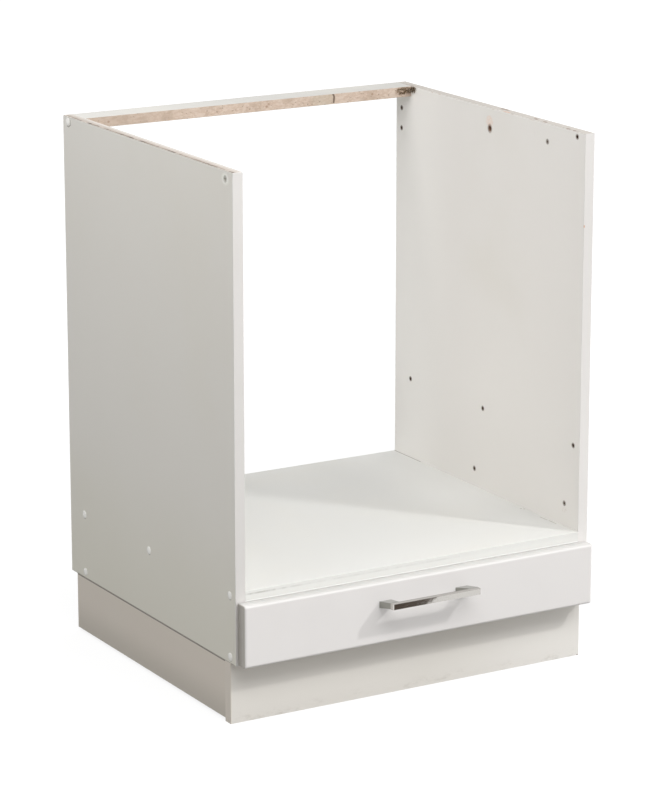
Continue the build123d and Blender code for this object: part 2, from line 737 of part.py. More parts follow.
wall = -inner
track_top = runner_base + RUNNER_SHEET
runner_start = panel_front + RUNNER_SETBACK
rider_x = -drawer_half - RUNNER_SHEET
rider_under = runner_base + CHANNEL_HEIGHT + 2 * RUNNER_SHEET + FLANGE_ABOVE_LIP
rear_roller_y = drawer_rear - ROLLER_INSET
front_roller_y = runner_start + ROLLER_INSET
rear_roller_z = track_top + ROLL_CLEARANCE + ROLLER_RADIUS
front_roller_z = rider_under - ROLL_CLEARANCE - ROLLER_RADIUS
roller_stand = PIN_SHOULDER_HEIGHT + SIDE_CLEARANCE
front_pin = ((wall + RUNNER_SHEET, front_roller_y, front_roller_z), (1, 0, 0))
rear_pin = ((rider_x, rear_roller_y, rear_roller_z), (-1, 0, 0))


def roller_pin():
    """Riveted roller pin along local Z from the sheet it is set in: shoulder, journal, head."""
    shoulder = PIN_SHOULDER_HEIGHT
    journal = roller_stand + ROLLER_WIDTH + SIDE_CLEARANCE
    end = journal + PIN_HEAD_HEIGHT
    points = [(0, -RUNNER_SHEET), (PIN_RADIUS, -RUNNER_SHEET), (PIN_RADIUS, 0)]
    points += [(PIN_SHOULDER, 0), (PIN_SHOULDER, shoulder), (PIN_RADIUS, shoulder)]
    points += [(PIN_RADIUS, journal), (PIN_HEAD, journal), (PIN_HEAD - PIN_HEAD_HEIGHT / 2, end), (0, end)]
    return turned(points)


def roller():
    """Moulded roller along local Z from its near side: tyre, dished web and hub."""
    rim = ROLLER_RADIUS - ROLLER_TYRE
    slope = ROLLER_DISH / 2
    near_side = [
        (PIN_RADIUS + PIN_CLEARANCE, 0),
        (ROLLER_HUB, 0),
        (ROLLER_HUB + slope, ROLLER_DISH),
        (rim - slope, ROLLER_DISH),
        (rim, 0),
        (ROLLER_RADIUS - ROLLER_EDGE, 0),
        (ROLLER_RADIUS, ROLLER_EDGE),
    ]
    far_side = [(radius, ROLLER_WIDTH - height) for radius, height in reversed(near_side)]
    return Pos(0, 0, roller_stand) * turned(near_side + far_side)


def cabinet_runner():
    """Channel on the side panel: the track of the rear roller, its stop and the front roller's seat."""
    height = CHANNEL_HEIGHT + 2 * RUNNER_SHEET
    path = [(CHANNEL_LIP, height), (0, height), (0, 0), (TRACK_WIDTH, 0)]
    section = Pos(wall, runner_base) * bent_sheet(path, RUNNER_SHEET, RUNNER_BEND)
    shape = along_y(section, runner_start, RUNNER_LENGTH)
    opening = front_roller_y + ROLLER_RADIUS + LIP_CUT_CLEARANCE
    lip = (wall + RUNNER_SHEET, wall + CHANNEL_LIP)
    shape -= block(lip, (runner_start, opening), (channel_middle(), runner_base + height))
    stop_y = rear_roller_y - DRAWER_TRAVEL - ROLLER_RADIUS
    stop_x = wall + TRACK_WIDTH - STOP_LENGTH / 2
    shape += Pos(stop_x, stop_y, track_top) * Rot(0, 90, 0) * Cylinder(STOP_RADIUS, STOP_LENGTH)
    shape -= block((wall, wall + TRACK_WIDTH), (runner_start, panel_rear), (bottom_top, runner_base))
    for y in runner_screw_lines():
        hole = Cylinder(WOOD_SCREW + SCREW_CLEARANCE, 4 * RUNNER_SHEET)
        shape -= placed(hole, (wall, y, channel_middle()), (1, 0, 0))
    shape -= placed(Cylinder(PIN_RADIUS, 4 * RUNNER_SHEET), *front_pin)
    return shape


def drawer_runner():
    """Rider on the drawer: foot under the side, web beside it, top flange over the front roller."""
    foot_end = rider_x + RUNNER_SHEET + RIDER_FOOT
    foot_z = drawer_base - RUNNER_SHEET
    path = [(rider_x + RUNNER_SHEET - RIDER_FLANGE, rider_under), (rider_x, rider_under)]
    path += [(rider_x, foot_z), (foot_end, foot_z)]
    section = bent_sheet(path, RUNNER_SHEET, RUNNER_BEND)
    shape = along_y(section, front_back + RIDER_SETBACK, DRAWER_LENGTH - RIDER_SETBACK)
    for point, way in rider_screws(-1):
        shape -= placed(Cylinder(WOOD_SCREW + SCREW_CLEARANCE, 4 * RUNNER_SHEET), point, way)
    shape -= placed(Cylinder(PIN_RADIUS, 4 * RUNNER_SHEET), *rear_pin)
    return shape


nodes["drawer_front"] = drawer_front()
nodes["drawer_bottom"] = drawer_bottom()
nodes["drawer_back"] = drawer_back()
nodes["buffer_pads"] = pads()
nodes["handle"] = handle()
nodes["handle_screws"] = group(placed(handle_screw(), spot, (0, -1, 0)) for spot in handle_spots)
one_side = {
    "drawer_side": drawer_side(),
    "front_bracket": bracket(),
    "cabinet_runner": cabinet_runner(),
    "drawer_runner": drawer_runner(),
    "front_roller": placed(roller(), *front_pin),
    "rear_roller": placed(roller(), *rear_pin),
}
for name, shape in one_side.items():
    nodes[f"{name}_left"] = shape
    nodes[f"{name}_right"] = other_side(shape)
for name, place in (("front_roller_pins", front_pin), ("rear_roller_pins", rear_pin)):
    pin = placed(roller_pin(), *place)
    nodes[name] = group([pin, other_side(pin)])

screw_sets = {
    "bracket_screws": [(p, w, BRACKET_SCREW_LENGTH) for s in (-1, 1) for p, w in bracket_screws(s)],
    "back_screws": [(p, w, BACK_SCREW_LENGTH) for s in (-1, 1) for p, w in back_screws(s)],
    "drawer_runner_screws": [(p, w, RIDER_SCREW_LENGTH) for s in (-1, 1) for p, w in rider_screws(s)],
    "cabinet_runner_screws": [
        ((s * (inner - RUNNER_SHEET), y, channel_middle()), (s, 0, 0), RUNNER_SCREW_LENGTH)
        for s in (-1, 1)
        for y in runner_screw_lines()
    ],
}
for name, places in screw_sets.items():
    nodes[name] = group(placed(wood_screw(length), point, way) for point, way, length in places)
nodes["bottom_tacks"] = group(placed(tack(), point, (0, 0, 1)) for point in tack_spots())

for name, shape in nodes.items():
    export_step(shape, f"parts/{name}.step")
print(len(nodes), "nodes written")
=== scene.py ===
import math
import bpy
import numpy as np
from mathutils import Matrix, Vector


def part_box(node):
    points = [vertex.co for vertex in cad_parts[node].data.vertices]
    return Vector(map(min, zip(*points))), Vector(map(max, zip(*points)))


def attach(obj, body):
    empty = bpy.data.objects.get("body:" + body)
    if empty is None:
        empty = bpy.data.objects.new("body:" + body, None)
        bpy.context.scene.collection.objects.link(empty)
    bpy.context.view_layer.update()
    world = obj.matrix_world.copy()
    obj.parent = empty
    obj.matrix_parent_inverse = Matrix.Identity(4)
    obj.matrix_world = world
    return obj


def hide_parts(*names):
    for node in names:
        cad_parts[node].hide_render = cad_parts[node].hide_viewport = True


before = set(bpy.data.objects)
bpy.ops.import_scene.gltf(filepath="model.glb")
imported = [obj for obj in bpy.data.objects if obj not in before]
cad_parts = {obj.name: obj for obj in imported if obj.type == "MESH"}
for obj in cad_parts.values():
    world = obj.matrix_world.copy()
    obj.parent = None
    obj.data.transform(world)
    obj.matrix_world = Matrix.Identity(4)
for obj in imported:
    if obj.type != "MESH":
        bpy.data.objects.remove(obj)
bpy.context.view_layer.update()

# %% [markdown]
# # An oven base unit, finished in Blender
# The boards, runners and screws come from CAD and stay exactly where they are. This script gives each of
# them a procedural finish, and builds anew the pieces whose look needs a smooth surface: the chrome
# handle, the foil-wrapped drawer front, the screw caps and the torn chipboard. Everything is in metres,
# +X to the right, +Y to the back, +Z up, with the floor at zero.

MM = 0.001
HALF = 300 * MM
INNER = 284 * MM
PANEL_FRONT = -233.25 * MM
PANEL_REAR = 291.75 * MM
PANEL_BASE = 92 * MM
PANEL_TOP = 804 * MM
SHELF_TOP = 201.5 * MM
RAIL_FRONT = 248.75 * MM
FACE = -253.75 * MM
BOARD = 16 * MM
rng = np.random.default_rng(7)

# %% [markdown]
# ## Shader maths written as plain expressions
# A material is a network of nodes, which is slow to read as a list of links. Here one small class wraps
# an output socket. Adding or multiplying two of them makes the Math node, and every other kind of node
# comes from a single method. A mask is then one line of arithmetic, as it would be on paper.

# %% A socket that can be added, multiplied and compared
class Wire:
    """One output of a node. Arithmetic on it adds Math nodes and gives the new output."""

    def __init__(self, socket):
        self.socket = socket

    def node(self, kind, settings=None, sockets=None, out=0):
        """Adds a node of this kind: its settings first, then the value or link of each socket."""
        tree = self.socket.id_data
        made = tree.nodes.new("ShaderNode" + kind)
        for name, value in (settings or {}).items():
            setattr(made, name, value)
        for name, value in (sockets or {}).items():
            if isinstance(value, Wire):
                tree.links.new(value.socket, made.inputs[name])
            else:
                made.inputs[name].default_value = value
        return Wire(made.outputs[out])

    def math(self, operation, first, second=0.0):
        return self.node("Math", {"operation": operation}, {0: first, 1: second})

    def __add__(self, other):
        return self.math("ADD", self, other)

    def __sub__(self, other):
        return self.math("SUBTRACT", self, other)

    def __rsub__(self, other):
        return self.math("SUBTRACT", other, self)

    def __mul__(self, other):
        return self.math("MULTIPLY", self, other)

    def __truediv__(self, other):
        return self.math("DIVIDE", self, other)

    def __gt__(self, other):
        return self.math("GREATER_THAN", self, other)

    def __lt__(self, other):
        return self.math("LESS_THAN", self, other)

    def __abs__(self):
        return self.math("ABSOLUTE", self)

    __radd__ = __add__
    __rmul__ = __mul__

    def power(self, exponent):
        return self.math("POWER", self, exponent)

    def lower_of(self, other):
        return self.math("MINIMUM", self, other)

    def higher_of(self, other):
        return self.math("MAXIMUM", self, other)

    def rise(self, start, end):
        """0 below start, 1 above end and a smooth step between them. Swapped limits give a fall."""
        if start > end:
            return 1 - self.rise(end, start)
        limits = {"Value": self, "From Min": start, "From Max": end}
        return self.node("MapRange", {"interpolation_type": "SMOOTHSTEP"}, limits)

    def split(self):
        """The X, Y and Z parts of a vector."""
        parts = self.node("SeparateXYZ", {}, {0: self}).socket.node.outputs
        return [Wire(part) for part in parts]

    def stretched(self, x, y, z):
        """A vector with each part multiplied, to lengthen or shorten a pattern."""
        return self.node("VectorMath", {"operation": "MULTIPLY"}, {0: self, 1: (x, y, z)})

    def noise(self, size, detail=2.0, rough=0.5):
        """Soft random values round 0.5, with lumps about as large as size in metres."""
        sockets = {"Vector": self, "Scale": 1 / size, "Detail": detail, "Roughness": rough}
        return self.node("TexNoise", {}, sockets)

    def cells(self, size):
        """Cells about as large as size in metres, each of one random colour."""
        return self.node("TexVoronoi", {}, {"Vector": self, "Scale": 1 / size}, "Color")


def painted(mask, over, under):
    """Lays one colour over another where the mask is 1."""
    wire = next(w for w in (mask, over, under) if isinstance(w, Wire))
    return wire.node("Mix", {"data_type": "RGBA"}, {0: mask, 6: rgba(under), 7: rgba(over)}, 2)


def rgba(colour):
    """A colour of 0 to 255 as a screen shows it, in Blender's linear values."""
    if isinstance(colour, Wire):
        return colour
    share = np.array(colour, float) / 255
    linear = np.where(share <= 0.04045, share / 12.92, ((share + 0.055) / 1.055) ** 2.4)
    return (*linear.tolist(), 1.0)


# %% How a material begins and ends
def begin(name):
    """An empty material and the Object coordinates of its surface, which are places on the unit."""
    material = bpy.data.materials.new(name)
    material.use_nodes = True
    tree = material.node_tree
    return material, Wire(tree.nodes.new("ShaderNodeTexCoord").outputs["Object"])


def end(material, fixed, varying, bump=None, bump_height=0.0):
    """Sets the shader's own sockets, links what varies, and adds a bump of that height in metres."""
    tree = material.node_tree
    shader = next(n for n in tree.nodes if n.type == "BSDF_PRINCIPLED")
    for name, value in fixed.items():
        shader.inputs[name].default_value = value
    for name, value in varying.items():
        tree.links.new(value.socket, shader.inputs[name])
    if bump is not None:
        lifted = bump.node("Bump", {}, {"Height": bump, "Distance": bump_height, "Strength": 1.0})
        tree.links.new(lifted.socket, shader.inputs["Normal"])
    return material


def wear(material, *names):
    """Gives a material to CAD nodes."""
    for name in names:
        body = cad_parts[name]
        body.data.materials.clear()
        body.data.materials.append(material)
    print(material.name, "on", len(names), "CAD nodes")


# %% [markdown]
# ## White boards with raw chipboard inside
# A side panel is chipboard pressed between two white melamine skins. Where it is sawn or drilled, the
# beige core shows: on the top edges, the rail's front edge, the rear edges and in every hole. Painting
# those faces one by one would be laborious. Each board's core is instead wherever the surface lies
# between its two skins, so one comparison of a coordinate finds every cut, and no face is missed.

# %% Raw chipboard: fine pressed flakes, a few browner ones and rare dark specks
FLAKE_PALE = (202, 185, 171)
FLAKE_MIDDLE = (190, 170, 154)
FLAKE_BROWN = (168, 148, 130)
BARK = (104, 84, 68)
# Painted shade: the dark brown laid into the drilled holes stands for the shade inside them.
BORE_SHADE = (84, 62, 47)


def chipboard(place):
    """Colour and height of a cut edge: small random cells for the flakes, soft patches and specks."""
    flakes = place.stretched(0.45, 0.45, 1).cells(0.0019)
    tone = flakes.node("SeparateColor", {}, {0: flakes})
    dust = place.noise(0.0011, 3, 0.8)
    patches = place.noise(0.022, 4, 0.7)
    colour = painted(tone.rise(0.1, 1.0), FLAKE_PALE, FLAKE_MIDDLE)
    colour = painted(patches.rise(0.50, 0.66) * 0.5, FLAKE_BROWN, colour)
    colour = painted(dust.rise(0.58, 0.72) * 0.35, FLAKE_BROWN, colour)
    specks = place.stretched(0.6, 0.6, 1).noise(0.0030, 2, 0.6).rise(0.66, 0.72)
    colour = painted(specks * 0.75, BARK, colour)
    return colour, dust - specks


# %% [markdown]
# Melamine is paper soaked in resin: nearly flat white, with a very fine pressed grain that only breaks
# up the gloss, and on a used unit a faint yellowing and a few grey rubs. All of it is weak on purpose,
# because a white board that shows its pattern looks like stone.

# %% White melamine
MELAMINE = (236, 233, 226)
YELLOWED = (228, 224, 213)
RUB = (186, 181, 172)
SKIN = 0.25 * MM


def melamine(place, white=MELAMINE):
    """Colour, roughness and height of a pressed white face."""
    clouds = place.noise(0.21, 3)
    colour = painted(clouds.rise(0.45, 0.75) * 0.25, YELLOWED, white)
    rubs = place.stretched(1, 1, 0.3).noise(0.03, 4, 0.7).rise(0.68, 0.82)
    colour = painted(rubs * 0.10, RUB, colour)
    grain = place.noise(0.0009, 2)
    rough = 0.42 + grain * 0.08 + clouds.rise(0.3, 0.8) * 0.06
    return colour, rough, grain


def between(value, low, high):
    """1 where the value lies between two limits."""
    return (value > low) * (value < high)


def board(name, across, low, high, white=MELAMINE, face_marks=None, cut_marks=None, sawn_ends=True):
    """A faced board: across is the axis through its thickness, from low to high on either side."""
    material, place = begin(name)
    parts = place.split()
    depth = abs(parts["XYZ".index(across)]) if across == "X" else parts["XYZ".index(across)]
    raw = between(depth, low + SKIN, high - SKIN)
    if not sawn_ends:
        raw = raw * (abs(parts[0]) < HALF - SKIN)
    colour, face_rough, grain = melamine(place, white)
    if face_marks:
        colour = face_marks(place, parts, colour)
    cut, cut_height = chipboard(place)
    if cut_marks:
        cut = cut_marks(place, parts, cut)
    colour = painted(raw, cut, colour)
    rough = face_rough + raw * (0.92 - face_rough)
    height = grain * 0.02 * (1 - raw) + cut_height * raw
    return end(material, {}, {"Base Color": colour, "Roughness": rough}, height, 0.3 * MM)


# %% [markdown]
# ## Marks of use
# The unit is second hand. Its right panel has dirt and painted shade round its holes, a torn screw hole
# with a peach halo where the skin has lifted, and chips along the top rim. The left one has painted shade
# under its caps and a filled hole. The rail has a crack, and the shelf has rubs beside the right panel and
# a painted gap shadow. Each mark is a soft stroke between two points or a spot, worked out from the
# distance to it, so it sits at a real place on the board.
#
# Some of the colours laid on below are not wear but painted light and shade. The lamps of this scene
# leave a few places darker or lighter than the photograph shows them, and a painted tint there makes up
# for it. The comments name each one, so that they can be taken out where the unit is lit in another way.

# %% Strokes and spots
def stroke(first, second, start, stop, width):
    """1 along a line between two points of a plane, fading to 0 at half the width to each side."""
    run = (stop[0] - start[0], stop[1] - start[1])
    length = math.hypot(*run)
    along = ((first - start[0]) * run[0] + (second - start[1]) * run[1]) / length**2
    along = along.higher_of(0.0).lower_of(1.0)
    off_first = first - (along * run[0] + start[0])
    off_second = second - (along * run[1] + start[1])
    return (off_first.power(2.0) + off_second.power(2.0)).rise((width / 2) ** 2, (width / 8) ** 2)


def line(first, second, points, width):
    """Strokes through a row of points, given in millimetres."""
    marks = [stroke(first, second, (a[0] * MM, a[1] * MM), (b[0] * MM, b[1] * MM), width)
             for a, b in zip(points, points[1:])]
    whole = marks[0]
    for mark in marks[1:]:
        whole = whole.higher_of(mark)
    return whole


def spot(first, second, middle, across, up):
    """1 in the middle of an oval and 0 outside it. Its middle is given in millimetres."""
    across_part = ((first - middle[0] * MM) / across).power(2.0)
    return (across_part + ((second - middle[1] * MM) / up).power(2.0)).rise(1.0, 0.25)


def spots(first, second, places, across, up):
    """Several spots of one size."""
    whole = spot(first, second, places[0], across, up)
    for place in places[1:]:
        whole = whole.higher_of(spot(first, second, place, across, up))
    return whole


# %% Places of the marks in millimetres: (y, z) on a side panel, (x, y) on its top
LEFT_TOP_HOLE = (-212.0, 791.6)
FILLER_SMEAR = (-212.0, 792.5)
CAP_SHADE_SPOTS = [(-217.0, 188.4), (31.0, 188.4), (244.0, 188.4), (-217.0, 96.6)]
CAP_RIM_SHADOW = [(268.4, 798.7), (267.0, 792.9), (273.8, 788.8), (279.0, 789.5)]
TORN_HOLE = (21.3, 772.5)
LIFTED_SKIN = (22.2, 783.5)
RIGHT_HOLES = [
    (-216.25, 331.5), (31.75, 331.5), (244.75, 331.5), (276.25, 765.7), (276.25, 733.7),
    (-211.95, 796.7), (-134.75, 777.2), (53.75, 229.5), (-195.75, 236.5),
]
TOP_CHIPS = [(295.8, 3.3), (296.3, -6.9), (291.3, -93.1), (288.8, -120.8), (286.0, -185.8), (285.2, -202.2)]
RAIL_KNOTS = [(28.0, 798.0), (24.5, 794.5), (213.0, 797.5), (-246.0, 795.5)]


# %% Marks on the left panel
def left_face_marks(place, parts, colour):
    """Warmer and darker low, a dark joint, painted shade below the caps and round the rail's cap, a filled
    hole.
    """
    x, y, z = parts
    outside = x < -(HALF - SKIN)
    # Warmer and a little darker towards the floor.
    colour = painted(z.rise(0.36, 0.10) * outside * 0.6, (224, 221, 205), colour)
    # Painted shade: darker spots just under the screw caps, where their shadow falls.
    grime = spots(y, z, CAP_SHADE_SPOTS, 4.6 * MM, 2.6 * MM)
    colour = painted(grime * outside * 0.5, (128, 124, 113), colour)
    colour = painted(z.rise(0.0935, 0.0925) * outside * 0.5, (96, 88, 79), colour)
    # Painted shadow: a dark arc along the lower rim of the rail's cap on the outer face.
    rim_shadow = line(y, z, CAP_RIM_SHADOW, 2.2 * MM)
    colour = painted(rim_shadow * outside * 0.75, (122, 117, 106), colour)
    halo = spot(y, z, FILLER_SMEAR, 12.0 * MM, 10.5 * MM)
    colour = painted(halo * outside * 0.7, (248, 247, 240), colour)
    filler = spot(y, z, FILLER_SMEAR, 6.0 * MM, 6.4 * MM)
    return painted(filler * outside * 0.75, (150, 148, 136), colour)


def left_cut_marks(place, parts, colour):
    """A grey top edge, paler inwards, with a broken dark outer rim, and pale filler in the top hole."""
    x, y, z = parts
    top = z > PANEL_TOP - 1.0 * MM
    colour = painted(top * 0.75, (172, 167, 161), colour)
    colour = painted(x.rise(-0.293, -0.286) * top * 0.8, (200, 196, 190), colour)
    rim = x.rise(-0.2940, -0.2965) * top
    broken = place.stretched(0.3, 0.10, 1).noise(0.004, 3, 0.6).rise(0.38, 0.55)
    colour = painted(rim * broken * 0.75, (128, 116, 104), colour)
    chips = place.stretched(0.35, 0.22, 1).noise(0.0036, 2, 0.6)
    colour = painted(rim * chips.rise(0.56, 0.64) * 0.85, (82, 70, 62), colour)
    # Painted shade: the drilled holes are darkened.
    colour = painted(bored(parts), BORE_SHADE, colour)
    filled = spot(y, z, LEFT_TOP_HOLE, 6.0 * MM, 6.0 * MM).rise(0.1, 0.2)
    return painted(filled, MELAMINE, colour)


def bored(parts):
    """1 in the drilled holes: the core met well inside the panel's outline."""
    x, y, z = parts
    margin = 5 * MM
    inside = between(z, PANEL_BASE + margin, PANEL_TOP - margin)
    return between(y, PANEL_FRONT + margin, PANEL_REAR - margin) * inside


# %% Marks on the right panel: lifted skin, crumbs, chips and the torn corner
def right_face_marks(place, parts, colour):
    """Dirt and painted shade round the holes, a torn hole and halo, crumbs, a bitten rim, the torn corner.
    """
    x, y, z = parts
    ragged = place.noise(0.003, 3, 0.7)
    inside = x < INNER + SKIN
    # Painted light, not wear: the rear part is lifted, as it comes out darker here than in the photograph.
    colour = painted(y.rise(0.10, 0.27) * inside * 0.8, (255, 253, 249), colour)
    halo = spot(y, z, LIFTED_SKIN, 11.5 * MM, 10.5 * MM) * ragged.rise(0.34, 0.58)
    ring = spot(y, z, TORN_HOLE, 7.4 * MM, 8.4 * MM)
    colour = painted(halo * inside * 0.55, (240, 206, 184), colour)
    colour = painted(ring * inside * 0.8, (128, 102, 86), colour)
    # Dirt and painted shade: dark rings make the holes look larger and darker.
    rings = spots(y, z, RIGHT_HOLES, 5.2 * MM, 5.2 * MM)
    colour = painted(rings * inside * 0.8, (112, 98, 84), colour)
    crumbs = spot(y, z, (-196.0, 226.5), 10.0 * MM, 5.0 * MM)
    crumbs = crumbs * place.noise(0.0019, 2, 0.8).rise(0.56, 0.66)
    colour = painted(crumbs * inside * 0.6, (176, 146, 122), colour)
    rim = z > PANEL_TOP - 1.6 * MM
    bitten = place.stretched(1, 0.4, 1).noise(0.005, 3, 0.75).rise(0.54, 0.66)
    colour = painted(rim * bitten * inside * 0.5, (206, 182, 166), colour)
    return torn_stain(place, spot(y, z, (244.0, 800.0), 13.0 * MM, 9.0 * MM) * inside, colour)


def torn_stain(place, near, colour):
    """Brown fibres where a screw has torn the board out at the right-hand end of the rail."""
    ragged = place.noise(0.0024, 4, 0.8)
    colour = painted(near * ragged.rise(0.44, 0.54) * 0.8, (132, 106, 78), colour)
    return painted(near * ragged.rise(0.55, 0.62), (66, 48, 34), colour)


def right_cut_marks(place, parts, colour):
    """A grey top edge, paler than the left one, with a few chips, torn open behind the rail's end."""
    x, y, z = parts
    top = z > PANEL_TOP - 1.0 * MM
    colour = painted(top * 0.9, (192, 188, 182), colour)
    marks = spots(x, y, TOP_CHIPS, 3.0 * MM, 6.0 * MM) * top
    colour = painted(marks * 0.9, (124, 98, 82), colour)
    bare = spot(x, y, (285.0, -22.0), 5.0 * MM, 12.0 * MM) * top
    colour = painted(bare * 0.7, (222, 186, 166), colour)
    torn = spot(x, y, (284.5, 252.0), 10.0 * MM, 24.0 * MM) * place.noise(0.003, 4, 0.8).rise(0.5, 0.6)
    colour = painted(torn * top * 0.7, (140, 112, 88), colour)
    # Painted shade: the drilled holes are darkened.
    colour = painted(bored(parts), BORE_SHADE, colour)
    torn_wall = spot(y, z, TORN_HOLE, 9.0 * MM, 9.0 * MM).rise(0.1, 0.2)
    return painted(torn_wall, (150, 120, 100), colour)


# %% Marks on the rail, the shelf and the plinth
def rail_cut_marks(place, parts, colour):
    """A greyer stretch, a crack through the edge, knots and the fibres of the torn end."""
    x, y, z = parts
    # Painted shade, not wear: the left part is darkened, as it comes out paler here than in the photograph.
    colour = painted(x.rise(-0.08, -0.24) * 0.5, (168, 152, 138), colour)
    greyer = spot(x, z, (124.0, 797.0), 26.0 * MM, 14.0 * MM)
    colour = painted(greyer * 0.35, (176, 168, 150), colour)
    crack = line(x, z, [(142.5, 804.0), (144.3, 799.0), (143.4, 791.0)], 4.6 * MM)
    colour = painted(crack * 0.9, (98, 82, 70), colour)
    knots = spots(x, z, RAIL_KNOTS, 2.6 * MM, 2.0 * MM)
    colour = painted(knots * 0.6, (140, 112, 92), colour)
    return torn_stain(place, spot(x, z, (267.0, 798.0), 15.0 * MM, 8.5 * MM), colour)


def shelf_marks(place, parts, colour):
    """Rubs beside the right panel, and a painted gap shadow at its rear end."""
    x, y, z = parts
    on_top = z > SHELF_TOP - SKIN
    # Painted light, not wear: the corner in the right panel's shadow is lifted, as it is darker here than
    # in the photograph.
    colour = painted(x.rise(0.12, 0.24) * y.rise(-0.12, 0.05) * on_top * 0.8, (239, 239, 236), colour)
    rubs = line(x, y, [(278.2, -140.2), (278.6, -158.6)], 1.8 * MM)
    rubs = rubs.higher_of(line(x, y, [(279.4, -162.8), (279.2, -182.0)], 1.8 * MM))
    rubs = rubs.higher_of(spots(x, y, [(277.9, -88.4), (280.7, -92.6)], 1.6 * MM, 1.8 * MM))
    colour = painted(rubs * on_top * 0.7, (150, 138, 122), colour)
    # Painted shadow: a dark line where the shelf meets the right panel near the rear.
    gap = line(x, y, [(283.4, 212.0), (283.4, 292.0)], 2.0 * MM)
    return painted(gap * on_top * 0.7, (104, 94, 82), colour)


def plinth_side_marks(place, parts, colour):
    """Dust in the joint under the side panel, and painted shade that darkens the skirt towards the floor.
    """
    x, y, z = parts
    outside = abs(x) > HALF - SKIN
    # Painted shade: the skirt darkens towards the floor.
    colour = painted(z.rise(0.060, 0.0) * outside * 0.5, (176, 170, 158), colour)
    return painted(z.rise(0.0895, 0.0908) * outside * 0.75, (84, 76, 68), colour)


def plinth_marks(place, parts, colour):
    """Grime along the floor, a chip at the right, and painted shade: the left end as dark as the sides."""
    x, y, z = parts
    # Painted light and shade, not wear: the right half comes out darker here than in the photograph,
    # so it is lifted, and the left end paler, so it is darkened.
    colour = painted(x.rise(0.0, 0.3) * 0.7, (245, 242, 237), colour)
    colour = painted((x < PLINTH_END) * 0.9, PLINTH_SIDE_WHITE, colour)
    chip = spot(x, z, (298.1, 0.7), 1.6 * MM, 1.2 * MM)
    grime = place.stretched(0.5, 1, 1).noise(0.014, 3, 0.7).rise(0.52, 0.72) * z.rise(0.02, 0.0)
    colour = painted(grime * 0.25, (150, 140, 126), colour)
    return painted(chip * 0.8, (120, 96, 78), colour)


# %% [markdown]
# The boards of such a unit are usually all of one white. The whites below differ more than that, because
# each was tuned against the photograph under this scene's lamps, and so also holds painted light and shade
# for what the lamps get wrong. One photograph can't tell how much of a difference is the board's own.

# %% The boards of the carcass, the plinth and the drawer
PLINTH_END = -299 * MM
LEFT_WHITE = (230, 227, 220)
RIGHT_WHITE = (240, 237, 233)
SHELF_WHITE = (224, 224, 221)
# Dust and painted shade: the rail's white is greyer than the other boards'.
RAIL_DUST_AND_SHADE = (201, 199, 194)
PLINTH_WHITE = (231, 227, 220)
PLINTH_SIDE_WHITE = (221, 212, 200)
left_board = board("board_side_left", "X", INNER, HALF, LEFT_WHITE, left_face_marks, left_cut_marks)
wear(left_board, "side_panel_left")
right_board = board("board_side_right", "X", INNER, HALF, RIGHT_WHITE, right_face_marks, right_cut_marks)
wear(right_board, "side_panel_right")
wear(board("board_shelf", "Z", SHELF_TOP - BOARD, SHELF_TOP, SHELF_WHITE, shelf_marks), "oven_shelf")
wear(board("board_bottom", "Z", PANEL_BASE, PANEL_BASE + BOARD), "bottom_panel")
rail_board = board("board_rail", "Z", PANEL_TOP - BOARD, PANEL_TOP, RAIL_DUST_AND_SHADE, None, rail_cut_marks)
wear(rail_board, "rear_top_rail")
plinth_front = [v.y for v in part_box("plinth_front")]
plinth_rear = [v.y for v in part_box("plinth_rear")]
plinth_board = board("board_plinth_front", "Y", *plinth_front, PLINTH_WHITE, plinth_marks, None, False)
wear(plinth_board, "plinth_front")
wear(board("board_plinth_rear", "Y", *plinth_rear, PLINTH_WHITE), "plinth_rear")
sides = board("board_plinth_sides", "X", INNER, HALF, PLINTH_SIDE_WHITE, plinth_side_marks)
wear(sides, "plinth_left", "plinth_right")
drawer_side = sorted(abs(v.x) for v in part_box("drawer_side_right"))
drawer_back = [v.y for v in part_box("drawer_back")]
wear(board("board_drawer_sides", "X", *drawer_side), "drawer_side_left", "drawer_side_right")
wear(board("board_drawer_back", "Y", *drawer_back), "drawer_back")

# %% [markdown]
# ## Edge bands, plastic, steel and the small parts
# The front edges carry a plastic band, smoother than the faces and of a cooler, greyer white. Runners are
# bent steel under white epoxy, which pulls back a little at its edges; screws and brackets are bright
# zinc with a faint bluish and yellowish play; rollers and blocks are moulded plastic.

# %% Edge bands and a line of glue
BAND = (220, 217, 214)
BAND_DULL = (212, 208, 202)
BRIGHT_BAND = (229, 229, 225)
GLUE_RUN = (-284 * MM, 75 * MM)
GLUE_HEIGHT = 196.6


